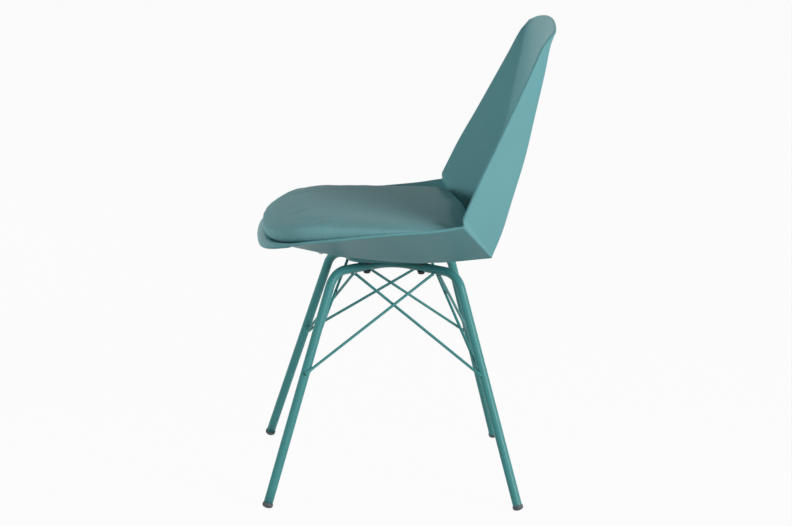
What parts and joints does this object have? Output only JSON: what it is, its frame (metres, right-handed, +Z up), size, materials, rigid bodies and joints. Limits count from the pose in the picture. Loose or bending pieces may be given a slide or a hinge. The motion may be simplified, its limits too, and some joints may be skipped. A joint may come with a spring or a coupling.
{
  "type": "shell chair",
  "caption": "Moulded shell dining chair with folded facets and an upholstered seat pad, on bent steel tubes braced by crossing thin rods.",
  "frame": {"origin": "on the floor, under the middle of the chair's bounding box", "axes": "+Z up, the sitter faces -Y, +X is the sitter's left"},
  "size_m": [0.481, 0.5088, 0.8299],
  "materials": {
    "shell_plastic": "satin moulded polypropylene",
    "pad_leather": "fine-grained upholstery leather",
    "frame_paint": "satin powder coat",
    "cap_plastic": "matte dark grey",
    "fastener_black": "black zinc",
    "spacer_plastic": "matte black",
    "insert_brass": "machined",
    "board_plywood": "bare plywood",
    "screw_steel": "zinc plated"
  },
  "bodies": {
    "root": {"seat_shell": "shell_plastic", "pad_board": "board_plywood", "seat_pad": "pad_leather", "left_frame_tube": "frame_paint", "right_frame_tube": "frame_paint", "side_brace_rod_front_right": "frame_paint", "cross_brace_rod_front_right": "frame_paint", "foot_cap_front_right": "cap_plastic", "side_brace_rod_rear_right": "frame_paint", "cross_brace_rod_rear_right": "frame_paint", "foot_cap_rear_right": "cap_plastic", "side_brace_rod_front_left": "frame_paint", "cross_brace_rod_front_left": "frame_paint", "foot_cap_front_left": "cap_plastic", "side_brace_rod_rear_left": "frame_paint", "cross_brace_rod_rear_left": "frame_paint", "foot_cap_rear_left": "cap_plastic", "frame_bolt_front_right": "fastener_black", "saddle_washer_front_right": "fastener_black", "rail_spacer_front_right": "spacer_plastic", "threaded_insert_front_right": "insert_brass", "pad_screw_front_right": "screw_steel", "frame_bolt_rear_right": "fastener_black", "saddle_washer_rear_right": "fastener_black", "rail_spacer_rear_right": "spacer_plastic", "threaded_insert_rear_right": "insert_brass", "pad_screw_rear_right": "screw_steel", "frame_bolt_front_left": "fastener_black", "saddle_washer_front_left": "fastener_black", "rail_spacer_front_left": "spacer_plastic", "threaded_insert_front_left": "insert_brass", "pad_screw_front_left": "screw_steel", "frame_bolt_rear_left": "fastener_black", "saddle_washer_rear_left": "fastener_black", "rail_spacer_rear_left": "spacer_plastic", "threaded_insert_rear_left": "insert_brass", "pad_screw_rear_left": "screw_steel"}
  },
  "joints": []
}
